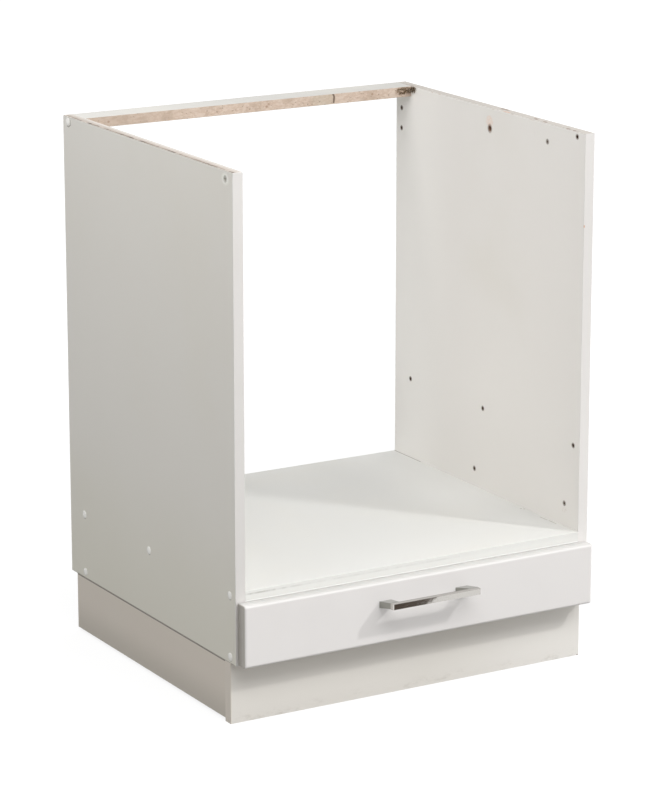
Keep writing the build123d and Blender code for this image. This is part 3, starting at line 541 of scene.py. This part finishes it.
def edge_band(name, white, dull, glued=False):
    """A smooth band. On the shelf's front a broken line of old glue runs along it."""
    material, place = begin(name)
    fine = place.stretched(1, 1, 0.08).noise(0.0012, 2)
    colour = painted(place.noise(0.09, 3).rise(0.5, 0.8) * 0.25, dull, white)
    x, y, z = place.split()
    if glued:
        dashes = place.stretched(0.22, 0, 0).noise(0.006, 3, 0.6).rise(0.36, 0.60)
        glue = between(x, *GLUE_RUN) * spot(x * 0, z, (0, GLUE_HEIGHT), 1, 1.5 * MM)
        fading = 0.12 + x.rise(-0.18, -0.25) * 0.28
        colour = painted(glue * (dashes * fading), (132, 124, 114), colour)
        # Painted light, not wear: the photograph shows only a faint gap above the drawer front, so the
        # band's lower edge, in the gap's shade, is lifted to the palest white.
        colour = painted(z.rise(0.1880, 0.1868), (255, 255, 252), colour)
    else:
        # Painted light, not wear: low on the right, the band comes out darker here than in the photograph,
        # so it is lifted.
        colour = painted(x.rise(0.0, 0.28) * z.rise(0.7, 0.2) * 0.8, (238, 235, 232), colour)
        nick = spot(x, z, (284.5, 667.3), 1.8 * MM, 2.4 * MM)
        colour = painted(nick, (206, 170, 148), colour)
    return end(material, {}, {"Base Color": colour, "Roughness": 0.34 + fine * 0.12}, fine, 0.02 * MM)


# %% Finishes of the small parts
def moulded(name, colour, rough, shine=0.5):
    """Moulded plastic: an even colour with a satin, slightly uneven skin."""
    material, place = begin(name)
    cloud = place.noise(0.02, 2)
    shade = tuple(0.93 * c for c in colour)
    paint = painted(cloud.rise(0.4, 0.8) * 0.5, shade, colour)
    skin = place.noise(0.0007, 2)
    look = {"Base Color": paint, "Roughness": rough + skin * 0.12}
    return end(material, {"Specular IOR Level": shine}, look, skin, 0.02 * MM)


def epoxy_steel():
    material, place = begin("epoxy_steel")
    peel = place.noise(0.0018, 2)
    dust = place.noise(0.03, 4, 0.7)
    colour = painted(dust.rise(0.5, 0.8) * 0.3, (206, 203, 194), (229, 229, 224))
    look = {"Base Color": colour, "Roughness": 0.3 + peel * 0.15}
    return end(material, {"Coat Weight": 0.15}, look, peel, 0.05 * MM)


def zinc():
    material, place = begin("zinc_plate")
    play = place.noise(0.006, 3)
    colour = painted(play.rise(0.35, 0.7), (196, 192, 176), (186, 192, 200))
    spangle = place.noise(0.0012, 3, 0.7)
    look = {"Base Color": colour, "Roughness": 0.24 + spangle * 0.2}
    return end(material, {"Metallic": 1.0}, look, spangle, 0.02 * MM)


def hardboard():
    """Thin drawer bottom: white lacquer above, brown pressed fibre below and at the edges."""
    material, place = begin("hardboard")
    x, y, z = place.split()
    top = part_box("drawer_bottom")[1].z
    fibre = place.noise(0.0012, 4, 0.8)
    brown = painted(fibre.rise(0.35, 0.7), (132, 98, 66), (166, 130, 92))
    white = painted(place.noise(0.05, 3).rise(0.5, 0.8) * 0.4, (222, 218, 208), (234, 232, 226))
    colour = painted(z > top - 0.1 * MM, white, brown)
    rough = 0.8 - (z > top - 0.1 * MM) * 0.35
    return end(material, {}, {"Base Color": colour, "Roughness": rough}, fibre, 0.05 * MM)


def beech():
    material, place = begin("beech_dowel")
    grain = place.stretched(0.08, 1, 1).noise(0.0012, 3)
    colour = painted(grain.rise(0.4, 0.65), (196, 156, 112), (222, 188, 146))
    return end(material, {}, {"Base Color": colour, "Roughness": 0.6 + grain * 0.2}, grain, 0.05 * MM)


wear(edge_band("edge_band", BAND, BAND_DULL), "edge_band_left", "edge_band_right", "bottom_edge_band")
wear(edge_band("edge_band_shelf", BRIGHT_BAND, BAND, True), "shelf_edge_band")
runners = ["cabinet_runner_left", "cabinet_runner_right", "drawer_runner_left", "drawer_runner_right"]
wear(epoxy_steel(), *runners)
screws = [
    "connecting_screws", "plinth_screws", "cabinet_runner_screws", "front_roller_pins", "rear_roller_pins",
    "bracket_screws", "back_screws", "bottom_tacks", "handle_screws", "drawer_runner_screws",
]
wear(zinc(), *screws, "front_bracket_left", "front_bracket_right")
rollers = ["front_roller_left", "front_roller_right", "rear_roller_left", "rear_roller_right"]
wear(moulded("roller_plastic", (232, 231, 224), 0.32), *rollers, "plinth_corner_blocks")
wear(moulded("soft_pad", (214, 214, 208), 0.55), "buffer_pads")
wear(hardboard(), "drawer_bottom")
wear(beech(), "dowels")

# %% [markdown]
# ## Surfaces from arrays
# A new piece is a grid of points worked out in one go with numpy: one direction of the grid runs along
# the piece and the other round its section. Neighbouring points are joined by quads, and the ends are
# closed by a face each. The sign of the enclosed volume tells whether the faces look outwards.

# %% From a grid of points to a mesh
def piece(name, grids, material, body):
    """One mesh from grids of shape (rows, round, 3), each closed round its section and at both ends."""
    points, faces, start = [], [], 0
    for grid in grids:
        rows, count = grid.shape[:2]
        index = start + np.arange(rows * count).reshape(rows, count)
        turn = np.roll(index, -1, axis=1)
        quads = np.stack([index[:-1], turn[:-1], turn[1:], index[1:]], axis=-1).reshape(-1, 4)
        a, b, c, d = (grid.reshape(-1, 3)[quads[:, k] - start] for k in range(4))
        inward = np.einsum("ij,ij->i", a, np.cross(b, c) + np.cross(c, d)).sum() < 0
        ends = [index[0][::-1].tolist(), index[-1].tolist()]
        quads = quads.tolist() + ends
        faces += [face[::-1] for face in quads] if inward else quads
        points.append(grid.reshape(-1, 3))
        start += rows * count
    mesh = bpy.data.meshes.new(name)
    mesh.from_pydata(np.concatenate(points).tolist(), [], faces)
    mesh.materials.append(material)
    mesh.polygons.foreach_set("use_smooth", np.ones(len(mesh.polygons), bool))
    mesh.update()
    made = bpy.data.objects.new(name, mesh)
    bpy.context.scene.collection.objects.link(made)
    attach(made, body)
    print(name, "has", len(mesh.vertices), "points and", len(mesh.polygons), "faces")
    return made


# %% [markdown]
# ## The chrome bow handle
# The real handle is one casting: two legs that taper and climb from the drawer front, and a slim bar
# between them. A box with bevels would lose the taper. Here the piece is ruled between two outlines seen
# from above, the outer one and the edge of the finger gap. Both are walked at the same pace, and at each
# step a rounded section spans from one to the other.

# %% Sizes of the handle
REACH = 75 * MM
PROJECTION = 38 * MM
BAR_DEPTH = 8 * MM
BAR_HEIGHT = 9 * MM
FOOT_WIDTH = 20 * MM
END_WIDTH = 14.6 * MM
FOOT_HEIGHT = 10 * MM
RISE = 6.4 * MM
HANDLE_Z = 152.6 * MM
OUTER_ROUND = 2.2 * MM
INNER_ROUND = 3.0 * MM
SECTION_ROUND = 0.4 * MM
BEHIND_BAR = (-287.0 * MM, -283.5 * MM)


# %% Outlines with rounded corners
def outline(start, corner, finish, radius, leg_steps, corner_steps, bar_steps):
    """Points from start to a corner and on to finish, the corner replaced by an arc of that radius.

    The arc touches both lines at radius times the tangent of half the turn. Its points swing evenly
    from the normal of the first line to the normal of the second.
    """
    start, corner, finish = (np.array(p, float) for p in (start, corner, finish))
    before = (corner - start) / np.linalg.norm(corner - start)
    after = (finish - corner) / np.linalg.norm(finish - corner)
    turn = math.acos(float(before @ after))
    reach = radius * math.tan(turn / 2)
    begin_arc, end_arc = corner - before * reach, corner + after * reach
    side = after - (after @ before) * before
    centre = begin_arc + radius * side / np.linalg.norm(side)
    share = np.linspace(0, 1, corner_steps)[:, None]
    swing = np.sin((1 - share) * turn) * (begin_arc - centre) + np.sin(share * turn) * (end_arc - centre)
    arc = centre + swing / math.sin(turn)
    leg = start + np.linspace(0, 1, leg_steps, endpoint=False)[:, None] * (begin_arc - start)
    bar = end_arc + np.linspace(0, 1, bar_steps)[1:, None] * (finish - end_arc)
    return np.concatenate([leg, arc, bar])


def rounded_section(width, height, radius, arc_steps=6):
    """Points round a rounded rectangle, as two shares and two lengths: place = share * side + length.

    Each corner is a quarter circle. A close pair of points past each arc keeps the flats flat.
    """
    angle = np.linspace(0, math.pi / 2, arc_steps)
    hold = radius * 0.15
    rows = []
    for right, top, turn in ((1, 0, -1), (1, 1, 0), (0, 1, 1), (0, 0, 2)):
        swing = angle + turn * math.pi / 2
        x = (radius if not right else -radius) + radius * np.cos(swing)
        y = (radius if not top else -radius) + radius * np.sin(swing)
        x = np.concatenate([[x[0] + hold * math.sin(swing[0])], x, [x[-1] - hold * math.sin(swing[-1])]])
        y = np.concatenate([[y[0] - hold * math.cos(swing[0])], y, [y[-1] + hold * math.cos(swing[-1])]])
        rows.append(np.stack([np.full_like(x, right), x, np.full_like(x, top), y], axis=1))
    return np.concatenate(rows)


def climb(depth, low, high):
    """Height of a handle's leg: it rises evenly from the foot and eases into the level bar."""
    slope = (high - low) / (PROJECTION - BAR_DEPTH)
    past = depth - (PROJECTION - BAR_DEPTH)
    ease = 1.2 * MM
    return high + slope * (past - np.sqrt(past**2 + ease**2)) / 2


# %% The handle's surface
def half_handle():
    outer = outline((-REACH, 0), (-REACH, -PROJECTION), (0, -PROJECTION), OUTER_ROUND, 24, 14, 40)
    foot_end = (-REACH + FOOT_WIDTH, 0)
    gap_corner = (-REACH + END_WIDTH, -(PROJECTION - BAR_DEPTH))
    gap = outline(foot_end, gap_corner, (0, gap_corner[1]), INNER_ROUND, 24, 14, 40)
    share_u, off_u, share_v, off_v = rounded_section(1, 1, SECTION_ROUND).T
    run = outer - gap
    length = np.linalg.norm(run, axis=1, keepdims=True)
    along = share_u + off_u / length
    plan = gap[:, None] + run[:, None] * along[..., None]
    depth = -plan[..., 1]
    base = climb(depth, -FOOT_HEIGHT / 2, RISE - BAR_HEIGHT / 2)
    top = climb(depth, FOOT_HEIGHT / 2, RISE + BAR_HEIGHT / 2)
    height = base + share_v * (top - base) + off_v
    return np.concatenate([plan, height[..., None]], axis=-1)


def polished_chrome():
    """Chrome: nearly a mirror, with faint waves of the casting below, a little dust and painted darker
    legs.

    The darker legs are a painted reflection: the legs mirror the white drawer front and would vanish
    against it. The photograph shows them grey.
    """
    material, place = begin("polished_chrome")
    waves = place.noise(0.012, 1)
    dust = place.noise(0.002, 4, 0.8)
    rough = 0.06 + dust.rise(0.5, 0.8) * 0.10
    colour = painted(dust.rise(0.55, 0.8) * 0.4, (170, 167, 161), (200, 197, 192))
    x, y, z = place.split()
    # Painted reflection: the legs behind the bar are darkened to grey.
    colour = painted(y.rise(*BEHIND_BAR) * 0.9, (146, 147, 140), colour)
    return end(material, {"Metallic": 1.0}, {"Base Color": colour, "Roughness": rough}, waves, 0.08 * MM)


left = half_handle()
right = left[::-1][1:].copy()
right[..., 0] *= -1
bow = np.concatenate([left, right])
bow += (0, FACE, HANDLE_Z)
handle = piece("handle_bow", [bow], polished_chrome(), "drawer")
handle.visible_diffuse = False  # keeps the light that it throws back off the drawer front
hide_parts("handle")

# %% [markdown]
# ## The foil-wrapped drawer front
# The front is a pressed board with foil drawn over it in one sheet, so its edges are soft all round and
# show no joint. A bevelled box would crease at the corners. It is built as rings: a rounded rectangle
# that shrinks towards the middle of the face, while its depth follows a quarter circle over the edge.
# The foil has the faint unevenness of the board below it, which only the gloss shows. Its top edge and
# left end carry painted shade, darker than the face, not for wear but to come out as in the photograph.

# %% Rings over the edge of the drawer front
FRONT_BACK = -234.75 * MM
FRONT_HALF = 297 * MM
FRONT_LOW = 93 * MM
FRONT_HIGH = 186 * MM
FRONT_EDGE = 4 * MM
FRONT_CORNER = 2 * MM
FOIL_TOP_SHADE = (183.5 * MM, 186.0 * MM)
FOIL_LEFT_SHADE = (-295.2 * MM, -296.8 * MM)


def wrapped_front():
    """Rings from the back to the face. Past the edge, a ring's inset is the radius times one minus the
    cosine of its angle, and its depth is the radius times one minus the sine."""
    angle = np.linspace(0, math.pi / 2, 11)
    inset = np.concatenate([[0.1 * MM, 0, 0], FRONT_EDGE * (1 - np.cos(angle)), [FRONT_EDGE + 0.4 * MM]])
    depth = [FRONT_BACK, FRONT_BACK - 0.1 * MM, FACE + FRONT_EDGE + 0.4 * MM]
    depth = np.concatenate([depth, FACE + FRONT_EDGE * (1 - np.sin(angle)), [FACE]])
    share_x, off_x, share_z, off_z = rounded_section(1, 1, FRONT_CORNER).T
    inset, depth = inset[:, None], depth[:, None]
    x = (2 * share_x - 1) * (FRONT_HALF - inset) + off_x
    z = FRONT_LOW + inset + share_z * (FRONT_HIGH - FRONT_LOW - 2 * inset) + off_z
    return np.stack([x, depth + 0 * x, z], axis=-1)


def satin_foil():
    material, place = begin("satin_foil")
    board_below = place.noise(0.011, 3)
    skin = place.noise(0.0011, 2)
    colour = painted(place.noise(0.12, 3).rise(0.45, 0.8) * 0.3, (226, 222, 220), (234, 231, 229))
    x, y, z = place.split()
    # Painted shade: the top edge is darkened.
    colour = painted(z.rise(*FOIL_TOP_SHADE) * 0.8, (203, 202, 199), colour)
    # Painted shade: the left end is darkened to grey.
    colour = painted(x.rise(*FOIL_LEFT_SHADE) * 0.9, (170, 165, 156), colour)
    rough = 0.34 + skin * 0.08
    look = {"Base Color": colour, "Roughness": rough}
    return end(material, {}, look, board_below * 0.6 + skin * 0.05, 0.10 * MM)


front = piece("drawer_front_foil", [wrapped_front()], satin_foil(), "drawer")
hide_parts("drawer_front")

# %% [markdown]
# ## Caps over the connecting screws
# Each connecting screw is hidden by a push-in plastic cap, a low glossy dome. They are all turned from
# one profile, a quarter of an ellipse, which is level in the middle and steep at the rim, so the rim
# catches the light above and turns dark below. No two sit quite alike, so each leans a little.

# %% Domes turned from a profile
CAP_RADIUS = 6.0 * MM
CAP_HEIGHT = 1.08 * MM


def dome(centre, side):
    """A turned dome: radius times the sine of an angle, height times its cosine, leaned a little."""
    angle = np.linspace(0.03, math.pi / 2, 16)[:, None]
    turn = np.linspace(0, 2 * math.pi, 36, endpoint=False)[None, :]
    y = CAP_RADIUS * np.sin(angle) * np.cos(turn)
    z = CAP_RADIUS * np.sin(angle) * np.sin(turn)
    lean = rng.uniform(-0.02, 0.02, 2)
    height = CAP_HEIGHT * np.cos(angle) * (0.9 + (lean[0] * y + lean[1] * z) / CAP_HEIGHT)
    return np.stack([np.clip(height, 0, CAP_HEIGHT), y, z], axis=-1) * (side, 1, 1) + centre


low_z, shelf_z, rail_z = 101.5 * MM, 193.5 * MM, 796 * MM
front_y, middle_y, rear_y = -216.25 * MM, 31.75 * MM, 244.75 * MM
seats = [(front_y, shelf_z), (middle_y, shelf_z), (rear_y, shelf_z), (front_y, low_z), (rear_y, low_z)]
seats.append((276.75 * MM, rail_z))
domes = [dome((side * HALF, y, z), side) for side in (-1, 1) for y, z in seats]
cap_skin = moulded("cap_plastic", (249, 247, 242), 0.16, 1.0)
caps = piece("screw_cap_domes", domes, cap_skin, "carcass")
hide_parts("screw_caps")

# %% [markdown]
# ## Torn chipboard beside the rail
# At the right-hand end of the rail a screw has been torn out, and a tuft of brown fibres stands from the
# board. Hair would be far too fine and regular for it. Each splinter here is a tapered five-sided
# spike, and the spikes of a tuft are worked out as one array. They lie against the two boards and stay
# below their top.

# %% Splinters
FIBRE_DARK = (78, 60, 45)
FIBRE_OLIVE = (126, 106, 78)
FIBRE_PALE = (204, 180, 150)


def splinters(count, low, high, heading, outward):
    """Spikes from roots in a box: root + length * share * heading + lift * share squared * outward.

    The radius of a spike falls from full at its root to a sixth at its tip.
    """
    root = rng.uniform(np.array(low) * MM, np.array(high) * MM, (count, 3))[:, None, None]
    way = np.array(heading) + rng.normal(0, 0.38, (count, 3))
    way = (way / np.linalg.norm(way, axis=1, keepdims=True))[:, None, None]
    length = rng.uniform(2.2, 7.0, count)[:, None, None, None] * MM
    lift = rng.uniform(0.0, 2.2, count)[:, None, None, None] * MM
    thick = rng.uniform(0.22, 0.60, count)[:, None, None, None] * MM
    share = np.linspace(0, 1, 5)[None, :, None, None]
    turn = np.linspace(0, 2 * math.pi, 5, endpoint=False)[None, None, :, None]
    first = np.cross(way, (0.3, 0.5, 0.8))
    first /= np.linalg.norm(first, axis=-1, keepdims=True)
    second = np.cross(way, first)
    middle = root + length * share * way + lift * share**2 * np.array(outward)
    around = thick * (1 - 0.83 * share) * (np.cos(turn) * first + np.sin(turn) * second)
    return np.minimum(middle + around, (INNER - 0.05 * MM, RAIL_FRONT - 0.05 * MM, PANEL_TOP - 0.1 * MM))


def torn_fibre():
    material, place = begin("torn_fibre")
    tone = place.noise(0.0021, 3, 0.8)
    colour = painted(tone.rise(0.40, 0.52), FIBRE_OLIVE, FIBRE_DARK)
    colour = painted(tone.rise(0.56, 0.66), FIBRE_PALE, colour)
    return end(material, {}, {"Base Color": colour, "Roughness": 0.8 + tone * 0.15}, tone, 0.1 * MM)


tufts = [
    splinters(46, (262, 248.2, 793), (283, 248.6, 802.5), (-1.0, -0.15, 0.0), (0.0, -1.0, 0.0)),
    splinters(40, (283.2, 236, 795.0), (283.8, 248.0, 803), (-0.2, -0.8, 0.3), (-1.0, 0.0, 0.0)),
    splinters(34, (276.0, 244, 794.5), (283.5, 248.4, 803), (-0.6, -0.6, 0.3), (-0.5, -0.5, 0.0)),
]
spikes = [spike for tuft in tufts for spike in tuft]
piece("torn_fibres", spikes, torn_fibre(), "carcass")

# %% [markdown]
# ## Studio
# A product photograph on white: a pale floor, a white surround and four lamps. The key lamp is small and
# stands high on the right, so the shadows of the handle and of the right panel have an edge. A wide lamp
# high before the unit lights its front, and two faint ones stand over its left side and behind it. Pale
# boards leave little room between grey and white, so the floor throws back only part of the light, and
# the surround lights the unit mostly from the right. The camera sees floor and surround as white, and so
# do mirror-like surfaces near the horizon. No reflection shows a lamp.

# %% Floor
FLOOR_BOUNCE = (125, 124, 122)
FLOOR_SEEN = (112, 112, 112)
FLOOR_GLOW = 0.87


def flat_shape(name, corners, material):
    """A flat face on the stage."""
    mesh = bpy.data.meshes.new(name)
    mesh.from_pydata(corners, [], [tuple(range(len(corners)))])
    mesh.materials.append(material)
    made = bpy.data.objects.new(name, mesh)
    bpy.context.scene.collection.objects.link(made)
    return made


def floor_white():
    """Bounces light as a mid grey. To the camera and to mirrors it is white and keeps the shadow.

    Far from the unit the lamps fade, and a stronger glow keeps the floor as white as the surround.
    """
    material, place = begin("floor_white")
    tree = material.node_tree
    rays = tree.nodes.new("ShaderNodeLightPath").outputs
    seen = Wire(rays["Is Camera Ray"]).higher_of(Wire(rays["Is Glossy Ray"]))
    seen = seen.higher_of(Wire(rays["Is Transmission Ray"]))
    shader = next(n for n in tree.nodes if n.type == "BSDF_PRINCIPLED")
    shader.inputs["Base Color"].default_value = rgba(FLOOR_BOUNCE)
    shader.inputs["Roughness"].default_value = 0.9
    shader.inputs["Specular IOR Level"].default_value = 0.0
    pale = place.node("BsdfDiffuse", {}, {"Color": rgba(FLOOR_SEEN)})
    x, y, z = place.split()
    away = (x.power(2.0) + y.power(2.0)).rise(0.8, 4.0)
    near, far = (FLOOR_GLOW, FLOOR_GLOW, FLOOR_GLOW, 1), (1, 1, 1, 1)
    glow_colour = away.node("Mix", {"data_type": "RGBA"}, {0: away, 6: near, 7: far}, 2)
    glow = place.node("Emission", {}, {"Color": glow_colour, "Strength": 1.0})
    lit = place.node("AddShader", {}, {0: pale, 1: glow})
    both = place.node("MixShader", {}, {0: seen, 1: Wire(shader.outputs[0]), 2: lit})
    output = next(n for n in tree.nodes if n.type == "OUTPUT_MATERIAL")
    tree.links.new(both.socket, output.inputs["Surface"])
    return material


SIDE = 8.0
flat_shape("floor", [(-SIDE, -SIDE, 0), (SIDE, -SIDE, 0), (SIDE, SIDE, 0), (-SIDE, SIDE, 0)], floor_white())

# %% [markdown]
# The handle's bar is a mirror, and a mirror among white surfaces vanishes. Photographers lay a dark card
# where a shiny edge looks, to give it a drawn line. This one lies on the floor before the unit, has a
# streaky brown face, and only reflections meet it.

# %% The dark card that the bar mirrors
def dark_card():
    material, place = begin("card_brown")
    streaks = place.stretched(0.25, 1, 1).noise(0.012, 3, 0.7)
    colour = painted(streaks.rise(0.35, 0.7), (92, 80, 70), (58, 48, 41))
    end(material, {}, {"Base Color": colour, "Roughness": 0.8 + streaks * 0.1})
    corners = [(0.08, -0.80, 0.001), (0.371, -0.80, 0.001), (0.142, -0.62, 0.001), (0.08, -0.62, 0.001)]
    card = flat_shape("dark_card", corners, material)
    card.visible_camera = card.visible_diffuse = card.visible_shadow = card.visible_transmission = False


dark_card()

# %% Surround
LIGHT_RIGHT = 1.90
LIGHT_LEFT = 0.52
LIGHT_BEFORE = 0.32
MIRRORED_HIGH = 0.55

world = bpy.data.worlds.new("studio")
world.use_nodes = True
tree = world.node_tree
sky = next(n for n in tree.nodes if n.type == "BACKGROUND")
x, y, up = Wire(tree.nodes.new("ShaderNodeTexCoord").outputs["Generated"]).split()
light = x.higher_of(0.0) * LIGHT_RIGHT + (0 - x).higher_of(0.0) * LIGHT_LEFT
light = light + (0 - y).higher_of(0.0) * LIGHT_BEFORE
mirrored = 1 - up.rise(0.0, 0.2) * (1 - MIRRORED_HIGH)
rays = tree.nodes.new("ShaderNodeLightPath").outputs
seen = Wire(rays["Is Camera Ray"]).higher_of(Wire(rays["Is Transmission Ray"]))
glossy = Wire(rays["Is Glossy Ray"])
strength = seen + (1 - seen) * (glossy * mirrored + (1 - glossy) * light)
tree.links.new(strength.socket, sky.inputs["Strength"])
sky.inputs["Color"].default_value = (1, 1, 1, 1)
bpy.context.scene.world = world

# %% Lamps
KEY_TOWARDS = Vector((0.497, -0.607, 0.620))
MIDDLE = Vector((0, 0, 0.4))


def lamp(name, place, aim, width, height, watts):
    """A rectangular soft lamp at a place, turned towards its aim and hidden from reflections."""
    data = bpy.data.lights.new(name, "AREA")
    data.shape = "RECTANGLE"
    data.size, data.size_y, data.energy = width, height, watts
    made = bpy.data.objects.new(name, data)
    made.visible_glossy = False
    made.location = place
    made.rotation_euler = (Vector(place) - Vector(aim)).to_track_quat("Z", "Y").to_euler()
    bpy.context.scene.collection.objects.link(made)
    print(name, "lamp of", watts, "W")


lamp("key", MIDDLE + KEY_TOWARDS * 4.0, MIDDLE, 0.22, 0.22, 45)
lamp("over_camera", (-0.3, -2.4, 2.8), MIDDLE, 2.8, 1.3, 54)
lamp("over_left", (-1.1, 0, 1.9), (-1.1, 0, 0), 1.2, 1.2, 16.2)
lamp("behind_left", (-2.2, 1.5, 1.3), MIDDLE, 1.2, 1.2, 1.2)

# %% [markdown]
# ## Camera and colour
# The camera stands where the photograph was taken from: to the front left, a little above the unit and
# about five metres away, with a long lens. The view transform is Standard, so a colour renders about as
# it is written.

# %% Camera
CAMERA_AT = (-2.5139, -4.2756, 1.7024)
AZIMUTH, ELEVATION = math.radians(-30.34), math.radians(14.82)
LENS = 154.26


def camera():
    """A camera with a long lens, turned towards the unit by its azimuth and elevation."""
    data = bpy.data.cameras.new("camera")
    data.lens = LENS
    data.sensor_width = 36
    made = bpy.data.objects.new("camera", data)
    made.location = CAMERA_AT
    flat = math.cos(ELEVATION)
    back = Vector((math.sin(AZIMUTH) * flat, -math.cos(AZIMUTH) * flat, math.sin(ELEVATION)))
    made.rotation_euler = (-back).to_track_quat("-Z", "Y").to_euler()
    bpy.context.scene.collection.objects.link(made)
    bpy.context.scene.camera = made


camera()
bpy.context.scene.view_settings.view_transform = "Standard"
